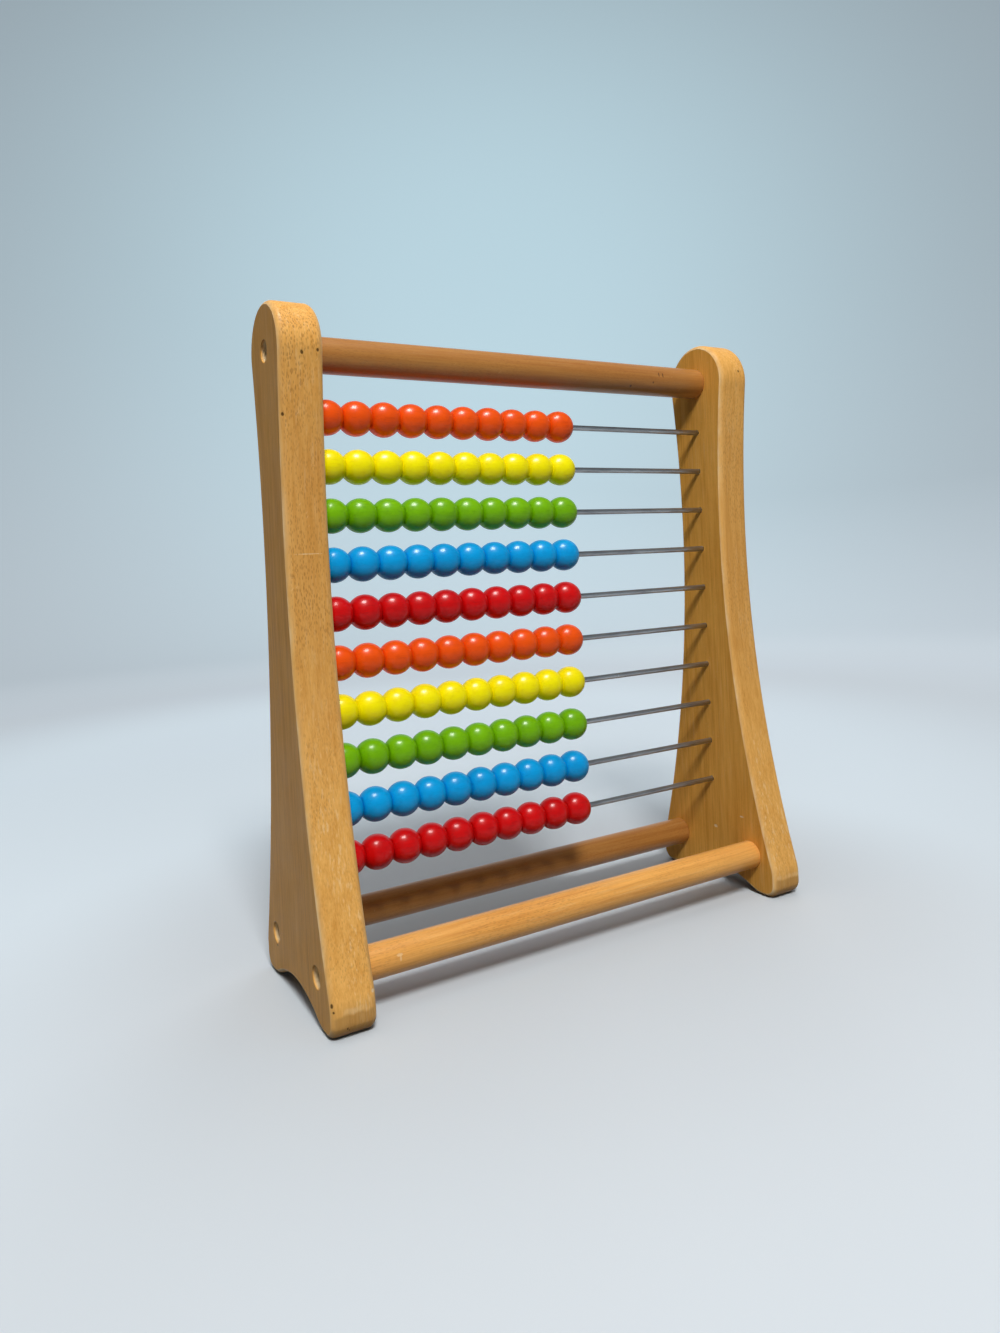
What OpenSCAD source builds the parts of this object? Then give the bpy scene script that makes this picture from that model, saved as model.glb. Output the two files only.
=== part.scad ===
// Bead abacus: two shaped wooden side panels, three round rails, and ten steel wires
// that carry ten wooden beads each. X runs along the wires, the front faces -Y, +Z is up,
// and the origin is on the table, under the middle of the frame.

/* [Side panels] */
// Thickness of a side panel
panel_t = 19; // [14:0.5:26]
// Radius of the round head of a panel
head_r = 21; // [18:0.5:26]
// Narrowest depth of a panel, front to back
waist_w = 32.8; // [24:0.2:34]
// Height of the narrowest place above the table
waist_h = 197; // [160:1:220]
// Depth of a panel across its two feet
foot_w = 88; // [80:1:110]
// Radius of the rounded toe of a foot
toe_r = 7; // [6:0.5:12]
// Height of the upright front of a foot, above its rounded toe
toe_front_h = 4; // [0:0.5:10]
// Radius of the curve that leads from the upright front back into the leg
ankle_r = 20; // [10:1:60]
// Width of the flat sole of a foot, front to back
sole_w = 2.6; // [2:0.2:6]
// Height of the arch between the two feet of a panel
arch_h = 8; // [5:0.5:12]
// Radius of the soft corner between the arch and the sole
arch_corner_r = 18; // [6:0.5:24]
// Radius along all the edges of a panel
edge_r = 3.2; // [1:0.1:4]
// Angle of the crease where the rounding of an edge meets the flat face
edge_crease = 25; // [0:5:40]

/* [Rails] */
// Clear width between the two side panels
inner_w = 222; // [200:1:260]
// Diameter of the top rail
top_rail_d = 16; // [12:0.5:20]
// Diameter of the two bottom rails
bottom_rail_d = 14.4; // [12:0.2:18]
// Distance from the front bottom rail to the rear one, axis to axis
bottom_rail_pitch = 55; // [44:1:60]
// Height of the bottom rails' axes above the table
bottom_rail_h = 20.5; // [18:0.5:26]

/* [Wires] */
// Diameter of a wire
wire_d = 2.8; // [2:0.1:4]
// Height of the lowest wire above the table
low_wire_h = 56.2; // [48:0.2:70]
// Distance from one wire to the next
wire_pitch = 21.5; // [19:0.5:24]
// Distance from the highest wire up to the top rail's axis
top_rail_rise = 27; // [24:0.5:36]
// Depth of the blind hole that holds a wire's end
wire_hole_depth = 9; // [5:0.5:12]
// Height of the small bevel on a wire's end
wire_bevel = 0.4; // [0.1:0.1:0.8]

/* [Beads] */
// Diameter of a bead
bead_d = 16; // [13:0.5:18]
// Length of a bead along its wire, over its two flat ends
bead_l = 13.4; // [10:0.1:14]
// Width of the bevel round the mouth of a bead's bore
bore_bevel = 0.5; // [0.2:0.1:1]

/* [Screws] */
// Diameter of a screw's shank and thread
screw_d = 4; // [3:0.1:5]
// Length of a screw under its head
screw_l = 38; // [28:1:45]
// Diameter of a screw's head
screw_head_d = 7.6; // [6.5:0.1:8.4]
// Height of a screw's head
screw_head_h = 2.6; // [1.5:0.1:4]
// Height of a screw's pointed tip
screw_tip_l = 4; // [2:0.5:6]
// Depth of the thread, measured on the radius
thread_depth = 0.6; // [0.3:0.1:1]
// Distance between two ridges of the thread
thread_pitch = 1.8; // [1.2:0.1:3]
// Width of the cross recess in a screw's head
recess_w = 1; // [0.6:0.1:1.4]
// Depth of the cross recess
recess_depth = 1.4; // [0.8:0.1:2]
// Diameter of the round pocket that hides a screw's head
pocket_d = 9.2; // [8.8:0.1:12]
// Depth of that pocket
pocket_depth = 6; // [4:0.5:9]

/* [Clearances] */
// Gap round a wire's end in its blind hole, on the radius
wire_fit = 0.05; // [0.02:0.01:0.1]
// Gap between a wire's end and the bottom of its hole
wire_end_gap = 0.4; // [0.2:0.1:1]
// Gap round the wire inside a bead, on the radius
bead_fit = 0.1; // [0.05:0.01:0.3]
// Gap between neighbouring beads that move together
bead_gap = 0.1; // [0.05:0.05:0.3]
// Gap between the two groups of a row, and from a group to the panel
group_gap = 0.3; // [0.2:0.05:0.5]
// Gap round a screw, on the radius
screw_fit = 0.1; // [0.05:0.05:0.3]

/* [Hidden] */
$fn = 64;
rows = 10;
beads_in_row = 10;
row_colours = ["#db5a1e", "#f5e11c", "#6f9f1c", "#1f97d4", "#b41e1c"];
panel_wood = "#cf9a57";
rail_wood = "#c5834a";
steel = "#9a9a98";

half_inner = inner_w / 2;
half_waist = waist_w / 2;
head_h = low_wire_h + (rows - 1) * wire_pitch + top_rail_rise;

// The edge of a panel is a chain of arcs that meet smoothly: arch, arch corner, toe, ankle,
// lower flare, upper flare and head. Each centre is found from the arcs beside it.
toe_y = foot_w / 2 - toe_r;
arch_corner_y = toe_y - sole_w;
arch_r = (arch_corner_y * arch_corner_y + arch_h * arch_h) / (2 * arch_h) - arch_corner_r;
arch_z = arch_h - arch_r;
ankle_y = foot_w / 2 - ankle_r;
ankle_z = toe_r + toe_front_h;
ankle_drop = waist_h - ankle_z;
low_flare_r = (pow(ankle_y - half_waist, 2) + ankle_drop * ankle_drop - ankle_r * ankle_r)
    / (2 * (foot_w / 2 - half_waist));
head_rise = head_h - waist_h;
high_flare_r = (half_waist * half_waist + head_rise * head_rise - head_r * head_r)
    / (2 * (head_r - half_waist));
arch_end_angle = atan2(arch_corner_r - arch_z, arch_corner_y);
ankle_end_angle = atan2(ankle_drop, half_waist + low_flare_r - ankle_y);
head_start_angle = -atan2(head_rise, half_waist + high_flare_r);

// Points along an arc, from angle a to angle b, in steps equal steps
function arc(y, z, r, a, b, steps) =
    [for (i = [0 : steps]) let (t = a + (b - a) * i / steps) [y + r * cos(t), z + r * sin(t)]];

// The front half of a panel's edge, moved in by d, from the arch up to the top of the head
function half_edge(d) = concat(
    arc(0, arch_z, arch_r + d, 90, arch_end_angle, 8),
    arc(arch_corner_y, arch_corner_r, arch_corner_r - d, arch_end_angle - 180, -90, 5),
    arc(toe_y, toe_r, toe_r - d, -90, 0, 8),
    arc(ankle_y, ankle_z, ankle_r - d, 0, ankle_end_angle, 4),
    arc(half_waist + low_flare_r, waist_h, low_flare_r + d, ankle_end_angle + 180, 180, 12),
    arc(half_waist + high_flare_r, waist_h, high_flare_r + d, 180, head_start_angle + 180, 6),
    arc(0, head_h, head_r - d, head_start_angle, 90, 12)
);

function near(a, b) = norm(a - b) < 0.001;

// The same points without those where one arc hands over to the next
function clean(points) =
    [for (i = [0 : len(points) - 1]) if (i == 0 || !near(points[i], points[i - 1])) points[i]];

// The whole closed edge: up the front half and back down the mirrored half
function edge(d) =
    let (half = clean(half_edge(d)), last = len(half) - 1)
    concat(half, [for (i = [last - 1 : -1 : 1]) [-half[i][0], half[i][1]]]);

edge_steps = 4;

// Each layer is [distance from the face, how far its edge is moved in]. The rounding starts
// on the face with a crease and runs smoothly into the narrow side.
face_layers = [for (i = [0 : edge_steps]) let (t = edge_crease + (90 - edge_crease) * i / edge_steps)
    [edge_r * (cos(edge_crease) - cos(t)), edge_r * (1 - sin(t))]];
panel_layers = concat(
    face_layers,
    [for (i = [edge_steps : -1 : 0]) [panel_t - face_layers[i][0], face_layers[i][1]]]
);

// Height of the wire in row k, counted from the top
function wire_z(k) = low_wire_h + (rows - k) * wire_pitch;

// Row k has k beads in its right group, and the last row is split in half
function right_count(k) = k < rows ? k : beads_in_row / 2;

function left_count(k) = beads_in_row - right_count(k);

// Length of a group of n beads
function group_l(n) = n * bead_l + (n - 1) * bead_gap;

function colour_of(k) = row_colours[(k - 1) % len(row_colours)];

function row_name(k) = str("row_", k < 10 ? "0" : "", k);

// Where the three rails meet a panel: [y, z, diameter]
top_seat = [0, head_h, top_rail_d];
front_seat = [-bottom_rail_pitch / 2, bottom_rail_h, bottom_rail_d];
rear_seat = [bottom_rail_pitch / 2, bottom_rail_h, bottom_rail_d];
seats = [top_seat, front_seat, rear_seat];

pilot_depth = screw_l - (panel_t - pocket_depth) + group_gap;

// A round bar or bore along X, from x = 0
module along_x(d, l) {
    rotate([0, 90, 0]) cylinder(d = d, h = l);
}

// The plain panel, from x = 0 outwards to x = panel_t
module panel_blank() {
    rings = [for (layer = panel_layers) [for (p = edge(layer[1])) [layer[0], p[0], p[1]]]];
    count = len(rings[0]);
    last = len(rings) - 1;
    sides = [for (i = [0 : last - 1]) for (j = [0 : count - 1]) let (n = (j + 1) % count)
        [i * count + j, (i + 1) * count + j, (i + 1) * count + n, i * count + n]];
    inner_face = [for (j = [0 : count - 1]) j];
    outer_face = [for (j = [count - 1 : -1 : 0]) last * count + j];
    polyhedron([for (ring = rings) for (p = ring) p], concat(sides, [outer_face, inner_face]), 10);
}

// A panel with its wire holes in the inner face and its screw holes from the outer face
module panel() {
    difference() {
        panel_blank();
        for (k = [1 : rows])
            translate([-1, 0, wire_z(k)]) along_x(wire_d + 2 * wire_fit, wire_hole_depth + 1);
        for (seat = seats) translate([0, seat[0], seat[1]]) {
            translate([-1, 0, 0]) along_x(screw_d + 2 * screw_fit, panel_t + 2);
            translate([panel_t - pocket_depth, 0, 0]) along_x(pocket_d, pocket_depth + 1);
        }
    }
}

module right_side_panel() {
    color(panel_wood) translate([half_inner, 0, 0]) panel();
}

module left_side_panel() {
    color(panel_wood) mirror([1, 0, 0]) translate([half_inner, 0, 0]) panel();
}

// A rail between the panels, with a pilot hole for a screw in each end
module rail(seat) {
    color(rail_wood) translate([-half_inner, seat[0], seat[1]]) difference() {
        along_x(seat[2], inner_w);
        for (x = [-1, inner_w - pilot_depth])
            translate([x, 0, 0]) along_x(screw_d + 2 * screw_fit, pilot_depth + 1);
    }
}

// A wood screw that points along -X, with the underside of its head at x = 0
module screw() {
    body_l = screw_l - screw_tip_l;
    plain_l = panel_t - pocket_depth;
    root_r = screw_d / 2 - thread_depth;
    ridges = floor((body_l - plain_l) / thread_pitch);
    rotate([0, -90, 0]) {
        difference() {
            translate([0, 0, -screw_head_h]) cylinder(d = screw_head_d, h = screw_head_h);
            for (a = [0, 90]) rotate(a)
                translate([-screw_head_d / 3, -recess_w / 2, -screw_head_h - 1])
                    cube([2 * screw_head_d / 3, recess_w, recess_depth + 1]);
        }
        cylinder(d = screw_d, h = plain_l);
        cylinder(r = root_r, h = body_l);
        for (i = [0 : ridges - 1]) translate([0, 0, plain_l + i * thread_pitch]) {
            cylinder(r1 = root_r, r2 = screw_d / 2, h = thread_pitch * 0.3);
            translate([0, 0, thread_pitch * 0.3])
                cylinder(r1 = screw_d / 2, r2 = root_r, h = thread_pitch * 0.3);
        }
        translate([0, 0, body_l]) cylinder(r1 = root_r, r2 = 0.2, h = screw_tip_l);
    }
}

module right_screw(seat) {
    color(steel) translate([half_inner + panel_t - pocket_depth, seat[0], seat[1]]) screw();
}

module left_screw(seat) {
    mirror([1, 0, 0]) right_screw(seat);
}

// A wire with its two ends lying in the panels' blind holes
module wire(k) {
    reach = half_inner + wire_hole_depth - wire_end_gap;
    color(steel) translate([-reach, 0, wire_z(k)]) rotate([0, 90, 0]) {
        cylinder(d1 = wire_d - 2 * wire_bevel, d2 = wire_d, h = wire_bevel);
        translate([0, 0, wire_bevel]) cylinder(d = wire_d, h = 2 * (reach - wire_bevel));
        translate([0, 0, 2 * reach - wire_bevel])
            cylinder(d1 = wire_d, d2 = wire_d - 2 * wire_bevel, h = wire_bevel);
    }
}

// A turned ball with two flat ends and a bevelled bore, from x = 0 to x = bead_l
module bead() {
    bore_d = wire_d + 2 * bead_fit;
    translate([bead_l / 2, 0, 0]) rotate([0, 90, 0]) difference() {
        intersection() {
            sphere(d = bead_d);
            cylinder(d = bead_d + 2, h = bead_l, center = true);
        }
        cylinder(d = bore_d, h = bead_l + 2, center = true);
        for (end = [0, 1]) mirror([0, 0, end]) translate([0, 0, bead_l / 2 - bore_bevel])
            cylinder(d1 = bore_d, d2 = bore_d + 4 * bore_bevel, h = 2 * bore_bevel);
    }
}

module bead_group(k, start, count) {
    color(colour_of(k)) for (i = [0 : count - 1])
        translate([start + i * (bead_l + bead_gap), 0, wire_z(k)]) bead();
}

module left_beads(k) {
    bead_group(k, -half_inner + group_gap, left_count(k));
}

module right_beads(k) {
    bead_group(k, -half_inner + group_l(left_count(k)) + 2 * group_gap, right_count(k));
}

panel_nodes = ["left_side_panel", "right_side_panel"];
rail_nodes = ["top_rail", "front_bottom_rail", "rear_bottom_rail"];
left_screw_nodes = [for (name = rail_nodes) str(name, "_left_screw")];
right_screw_nodes = [for (name = rail_nodes) str(name, "_right_screw")];
row_nodes = [for (k = [1 : rows]) for (piece = ["wire", "left_beads", "right_beads"])
    str(row_name(k), "_", piece)];

left_side_panel();
right_side_panel();
for (i = [0 : len(seats) - 1]) {
    rail(seats[i]);
    left_screw(seats[i]);
    right_screw(seats[i]);
}
for (k = [1 : rows]) {
    wire(k);
    left_beads(k);
    right_beads(k);
}
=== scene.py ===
import math
import random
import bpy
import bmesh
from mathutils import Matrix, Vector, noise


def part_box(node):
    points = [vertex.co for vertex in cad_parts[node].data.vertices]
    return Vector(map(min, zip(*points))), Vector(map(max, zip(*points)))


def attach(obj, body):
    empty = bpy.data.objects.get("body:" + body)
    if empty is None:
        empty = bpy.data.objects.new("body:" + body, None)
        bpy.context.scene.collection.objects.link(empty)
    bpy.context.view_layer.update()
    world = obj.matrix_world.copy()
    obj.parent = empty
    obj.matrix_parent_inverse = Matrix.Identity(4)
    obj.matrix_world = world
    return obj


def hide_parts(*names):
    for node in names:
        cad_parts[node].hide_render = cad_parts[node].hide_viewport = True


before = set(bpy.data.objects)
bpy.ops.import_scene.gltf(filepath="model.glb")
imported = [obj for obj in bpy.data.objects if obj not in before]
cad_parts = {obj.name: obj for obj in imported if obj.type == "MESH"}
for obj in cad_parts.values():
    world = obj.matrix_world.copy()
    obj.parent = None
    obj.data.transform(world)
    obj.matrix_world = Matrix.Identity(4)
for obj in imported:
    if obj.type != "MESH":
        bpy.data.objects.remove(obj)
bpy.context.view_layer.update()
mm = 0.001

# The camera stands low at the front left corner and leans a little, as a hand-held phone does.
cameraSet = {
    "place": (-0.2393, -0.3772, 0.1834),
    "turn": 30.36,  # degrees from +Y towards +X
    "tilt": -1.06,
    "lean": -2.74,
    "lens": 24.28,
    "shift": (-0.0024, -0.0664),
    "clip": (0.01, 50),
}


def makeCamera(s):
    turn, tilt, lean = (math.radians(s[k]) for k in ("turn", "tilt", "lean"))
    ahead = Vector((math.sin(turn) * math.cos(tilt), math.cos(turn) * math.cos(tilt), math.sin(tilt)))
    side = ahead.cross(Vector((0, 0, 1))).normalized()
    up = side.cross(ahead)
    leanSide = side * math.cos(lean) + up * math.sin(lean)
    leanUp = up * math.cos(lean) - side * math.sin(lean)
    camera = bpy.data.objects.new("camera", bpy.data.cameras.new("camera"))
    bpy.context.scene.collection.objects.link(camera)
    camera.matrix_world = Matrix.Translation(s["place"]) @ Matrix((leanSide, leanUp, -ahead)).transposed().to_4x4()
    camera.data.lens = s["lens"]
    camera.data.shift_x, camera.data.shift_y = s["shift"]
    camera.data.clip_start, camera.data.clip_end = s["clip"]
    bpy.context.scene.camera = camera


makeCamera(cameraSet)


# small helpers for shader trees
def tint(code):
    parts = [int(code[i:i + 2], 16) / 255 for i in (0, 2, 4)]
    return [*(p / 12.92 if p <= 0.04045 else ((p + 0.055) / 1.055) ** 2.4 for p in parts), 1.0]


def feed(tree, made, wires):
    for key, value in wires.items():
        if isinstance(value, bpy.types.NodeSocket):
            tree.links.new(value, made.inputs[key])
        else:
            made.inputs[key].default_value = value
    return made.outputs


def put(tree, kind, wires=None, **settings):
    made = tree.nodes.new("ShaderNode" + kind)
    for key, value in settings.items():
        setattr(made, key, value)
    return feed(tree, made, wires or {})


def calc(tree, operation, *values, clamp=False):
    return put(tree, "Math", dict(enumerate(values)), operation=operation, use_clamp=clamp)[0]


def vecCalc(tree, operation, *values):
    made = put(tree, "VectorMath", dict(enumerate(values)), operation=operation)
    return made["Value" if operation in ("LENGTH", "DISTANCE") else "Vector"]


def mixed(tree, factor, a, b):
    return put(tree, "Mix", {0: factor, 6: a, 7: b}, data_type="RGBA")[2]


def overlay(tree, colour, mask, strength, shade):
    return mixed(tree, calc(tree, "MULTIPLY", mask, strength), colour, tint(shade))


def ease(tree, value, start, end, low=0.0, high=1.0):
    wires = {"Value": value, "From Min": start, "From Max": end, "To Min": low, "To Max": high}
    return put(tree, "MapRange", wires, interpolation_type="SMOOTHSTEP")["Result"]


def grainNoise(tree, place, stretch, detail=2.0, rough=0.5, output="Fac"):
    scaled = vecCalc(tree, "MULTIPLY", place, stretch)
    return put(tree, "TexNoise", {"Vector": scaled, "Scale": 1.0, "Detail": detail, "Roughness": rough})[output]


def newGroup(name, inputs, outputs):
    tree = bpy.data.node_groups.new(name, "ShaderNodeTree")
    for label, kind, value in inputs:
        socket = tree.interface.new_socket(label, in_out="INPUT", socket_type="NodeSocket" + kind)
        if value is not None:
            socket.default_value = value
    for label, kind in outputs:
        tree.interface.new_socket(label, in_out="OUTPUT", socket_type="NodeSocket" + kind)
    return tree, tree.nodes.new("NodeGroupInput").outputs, tree.nodes.new("NodeGroupOutput").inputs


def useGroup(tree, group, wires):
    made = tree.nodes.new("ShaderNodeGroup")
    made.node_tree = group
    return feed(tree, made, wires)


# shared effects
def buildStrokes():
    # Short strokes scattered through space: one per cell, in a share of the cells.
    tree, given, out = newGroup(
        "strokes",
        [
            ("Vector", "Vector", None),
            ("Cells", "Vector", (100, 100, 100)),
            ("Share", "Float", 0.5),
            ("Reach", "Float", 0.2),
        ],
        [("Mask", "Float")],
    )
    scaled = vecCalc(tree, "MULTIPLY", given["Vector"], given["Cells"])
    cells = put(tree, "TexVoronoi", {"Vector": scaled, "Scale": 1.0, "Randomness": 1.0})
    full = calc(tree, "MULTIPLY", given["Reach"], 0.4)  # within this distance a stroke is at its full strength
    near = ease(tree, cells["Distance"], given["Reach"], full)
    pick = calc(tree, "LESS_THAN", put(tree, "SeparateColor", {0: cells["Color"]})[0], given["Share"])
    tree.links.new(calc(tree, "MULTIPLY", near, pick), out["Mask"])
    return tree


markSet = {
    "rag": (900, 900, 900),  # scale of the ragged edge
    "edge": (1.0, 0.55),  # where the mark starts and where it is full, in shares of its size
}


def buildMark(s):
    # One mark at a known place, with a ragged edge.
    tree, given, out = newGroup(
        "placedMark",
        [
            ("Vector", "Vector", None),
            ("Centre", "Vector", (0, 0, 0)),
            ("Size", "Vector", (1, 1, 1)),
            ("Ragged", "Float", 0.5),
        ],
        [("Mask", "Float")],
    )
    fromCentre = vecCalc(tree, "SUBTRACT", given["Vector"], given["Centre"])
    away = vecCalc(tree, "LENGTH", vecCalc(tree, "DIVIDE", fromCentre, given["Size"]))
    rag = calc(tree, "SUBTRACT", grainNoise(tree, given["Vector"], s["rag"], 3.0, 0.6), 0.5)
    edge = calc(tree, "ADD", away, calc(tree, "MULTIPLY", rag, given["Ragged"]))
    tree.links.new(ease(tree, edge, *s["edge"]), out["Mask"])
    return tree


figureSet = {
    # scales are waves per metre, across the grain twice and then along it
    "drift": (20, 20, 4), "wander": (0.016, 0.016, 0.0),
    "pith": (0.075, 0.19, 0.0),  # how far away the middle of the tree lay
    "ringRise": (0.1, 0.9), "ringFall": (1.0, 0.9),
    "fibre": (1700, 1700, 60), "fibreEase": (0.3, 0.72),
    "shades": {
        # scale, roughness, where it starts and is full, and how much it darkens
        "band": ((260, 260, 9), 0.55, 0.36, 0.68, 0.2),
        "line": ((640, 640, 16), 0.6, 0.4, 0.66, 0.26),
        "tone": ((40, 40, 12), 0.55, 0.3, 0.7, 0.24),
    },
    "crowd": (45, 45, 22), "crowdEase": (0.34, 0.62),  # patches in which the flecks stand closer
    "fine": {"Cells": (1600, 1600, 480), "Share": 0.8, "Reach": 0.52},
    "bold": {"Cells": (900, 900, 240), "Share": 0.3, "Reach": 0.34},
    "fineLeast": 0.1, "fineMore": 0.44, "boldMore": 0.62,
    "patch": (70, 70, 14), "patchEase": (0.38, 0.6), "streak": (1000, 1000, 40), "streakEase": (0.52, 0.68),
    "fibreRelief": 0.6, "fleckRelief": 0.5,
}


def buildWood(strokes, s):
    # Solid beech figure with the grain along Z: soft growth rings, fibres and ray flecks.
    tree, given, out = newGroup(
        "beechFigure",
        [
            ("Vector", "Vector", None),
            ("Pale", "Color", tint("dcae6c")),
            ("Deep", "Color", tint("b98343")),
            ("Fleck", "Color", tint("7d5125")),
            # the colour of the pale streaks: raised fibres, and a painted sheen of the lacquer
            ("Fibre", "Color", tint("efca8c")),
            ("Ring Gap", "Float", 0.0046),
            ("Ring Depth", "Float", 0.12),
            ("Fibre Depth", "Float", 0.3),
            ("Fleck Depth", "Float", 0.6),
            ("Shine", "Float", 0.3),
        ],
        [("Color", "Color"), ("Relief", "Float")],
    )
    place = given["Vector"]
    drift = vecCalc(tree, "SUBTRACT", grainNoise(tree, place, s["drift"], 2.0, 0.5, "Color"), (0.5, 0.5, 0.5))
    wander = vecCalc(tree, "ADD", place, vecCalc(tree, "MULTIPLY", drift, s["wander"]))
    fromPith = put(tree, "SeparateXYZ", {0: vecCalc(tree, "ADD", wander, s["pith"])})
    squares = [calc(tree, "MULTIPLY", fromPith[i], fromPith[i]) for i in (0, 1)]
    radius = calc(tree, "SQRT", calc(tree, "ADD", *squares))
    phase = calc(tree, "FRACT", calc(tree, "DIVIDE", radius, given["Ring Gap"]))
    ring = calc(tree, "MULTIPLY", ease(tree, phase, *s["ringRise"]), ease(tree, phase, *s["ringFall"]))
    fibre = grainNoise(tree, place, s["fibre"], 3.0, 0.62)
    shade = calc(tree, "MULTIPLY", ring, given["Ring Depth"])
    fibrous = calc(tree, "MULTIPLY", ease(tree, fibre, *s["fibreEase"]), given["Fibre Depth"])
    shade = calc(tree, "ADD", shade, fibrous)
    for scale, rough, start, end, depth in s["shades"].values():
        layer = ease(tree, grainNoise(tree, place, scale, 3.0, rough), start, end)
        shade = calc(tree, "ADD", shade, calc(tree, "MULTIPLY", layer, depth), clamp=True)
    ground = mixed(tree, shade, given["Pale"], given["Deep"])
    # ray flecks: short upright dashes, thicker in some patches than in others
    crowd = ease(tree, grainNoise(tree, place, s["crowd"], 3.0, 0.6), *s["crowdEase"])
    fine = useGroup(tree, strokes, {"Vector": place, **s["fine"]})["Mask"]
    bold = useGroup(tree, strokes, {"Vector": place, **s["bold"]})["Mask"]
    fineShare = calc(tree, "ADD", calc(tree, "MULTIPLY", crowd, s["fineMore"]), s["fineLeast"])
    boldShare = calc(tree, "MULTIPLY", crowd, s["boldMore"])
    flecks = calc(tree, "MAXIMUM", calc(tree, "MULTIPLY", fine, fineShare), calc(tree, "MULTIPLY", bold, boldShare))
    # pale streaks that follow the grain, in some patches only: paler raised fibres, and a painted sheen of the lacquer
    patch = ease(tree, grainNoise(tree, place, s["patch"], 2.0, 0.5), *s["patchEase"])
    streak = ease(tree, grainNoise(tree, place, s["streak"], 3.0, 0.6), *s["streakEase"])
    shine = calc(tree, "MULTIPLY", calc(tree, "MULTIPLY", streak, patch), given["Shine"])
    lit = mixed(tree, shine, ground, given["Fibre"])
    dark = calc(tree, "MULTIPLY", flecks, given["Fleck Depth"])
    tree.links.new(mixed(tree, dark, lit, given["Fleck"]), out["Color"])
    dips = [calc(tree, "MULTIPLY", fibre, s["fibreRelief"]), calc(tree, "MULTIPLY", flecks, s["fleckRelief"])]
    tree.links.new(calc(tree, "SUBTRACT", 1.0, calc(tree, "ADD", *dips)), out["Relief"])
    return tree


handlingSet = {
    "turn": {"Axis": (0.6, 0.3, 0.74), "Angle": 0.9},
    "first": {"Cells": (60, 1400, 300), "Share": 0.05, "Reach": 0.2},
    "second": {"Cells": (180, 160, 2600), "Share": 0.03, "Reach": 0.2},
    "smudge": (55, 55, 55), "smudgeDepth": 0.3, "scratchDepth": 0.2,
}


def buildHandling(strokes, s):
    # Years of small hands: hair scratches, and a lacquer that is rubbed duller in patches.
    tree, given, out = newGroup(
        "handling",
        [("Vector", "Vector", None), ("Gloss", "Float", 0.36), ("Amount", "Float", 0.5)],
        [("Scratches", "Float"), ("Roughness", "Float")],
    )
    place = given["Vector"]
    turned = put(tree, "VectorRotate", {"Vector": place, **s["turn"]}, rotation_type="AXIS_ANGLE")[0]
    first = useGroup(tree, strokes, {"Vector": turned, **s["first"]})["Mask"]
    second = useGroup(tree, strokes, {"Vector": place, **s["second"]})["Mask"]
    lines = calc(tree, "MULTIPLY", calc(tree, "MAXIMUM", first, second), given["Amount"])
    smudge = calc(tree, "SUBTRACT", grainNoise(tree, place, s["smudge"], 4.0, 0.6), 0.5)
    worn = calc(tree, "ADD", given["Gloss"], calc(tree, "MULTIPLY", smudge, s["smudgeDepth"]))
    rough = calc(tree, "ADD", worn, calc(tree, "MULTIPLY", lines, s["scratchDepth"]), clamp=True)
    tree.links.new(rough, out["Roughness"])
    tree.links.new(lines, out["Scratches"])
    return tree


drawnSet = {"lines": (60, 5200, 5200), "stain": (70, 300, 300), "stainDepth": 0.3, "dullEase": (0.35, 0.65)}


def buildSteel(s):
    # Drawn or turned steel: fine lines along X, and a faint cloudy stain.
    tree, given, out = newGroup(
        "drawnSteel",
        [
            ("Vector", "Vector", None),
            ("Bright", "Color", tint("b9b7b4")),
            ("Dull", "Color", tint("8b8783")),
            ("Gloss", "Float", 0.32),
        ],
        [("Color", "Color"), ("Roughness", "Float"), ("Relief", "Float")],
    )
    place = given["Vector"]
    lines = grainNoise(tree, place, s["lines"], 2.0, 0.6)
    stain = grainNoise(tree, place, s["stain"], 3.0, 0.6)
    halves = calc(tree, "ADD", calc(tree, "MULTIPLY", lines, 0.5), calc(tree, "MULTIPLY", stain, 0.5))
    dull = ease(tree, halves, *s["dullEase"])
    tree.links.new(mixed(tree, dull, given["Bright"], given["Dull"]), out["Color"])
    cloud = calc(tree, "MULTIPLY", calc(tree, "SUBTRACT", stain, 0.5), s["stainDepth"])
    tree.links.new(calc(tree, "ADD", given["Gloss"], cloud, clamp=True), out["Roughness"])
    tree.links.new(lines, out["Relief"])
    return tree


dippedSet = {
    "ripple": (420, 420, 420), "grain": (90, 1150, 1150), "grainEase": (0.5, 0.68),
    "patch": (160, 220, 220), "patchEase": (0.45, 0.75),
    "ridgeThin": 0.35, "patchThin": 0.45, "toneThin": 0.3,  # how much of each lets the thin colour through
    "rubs": {"Cells": (260, 900, 260), "Share": 0.1, "Reach": 0.24},
    "patchGloss": 0.22, "rubGloss": 0.16,
    "ridgeRelief": 0.35, "rippleRelief": 0.65, "rubRelief": 0.25,
}


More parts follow.
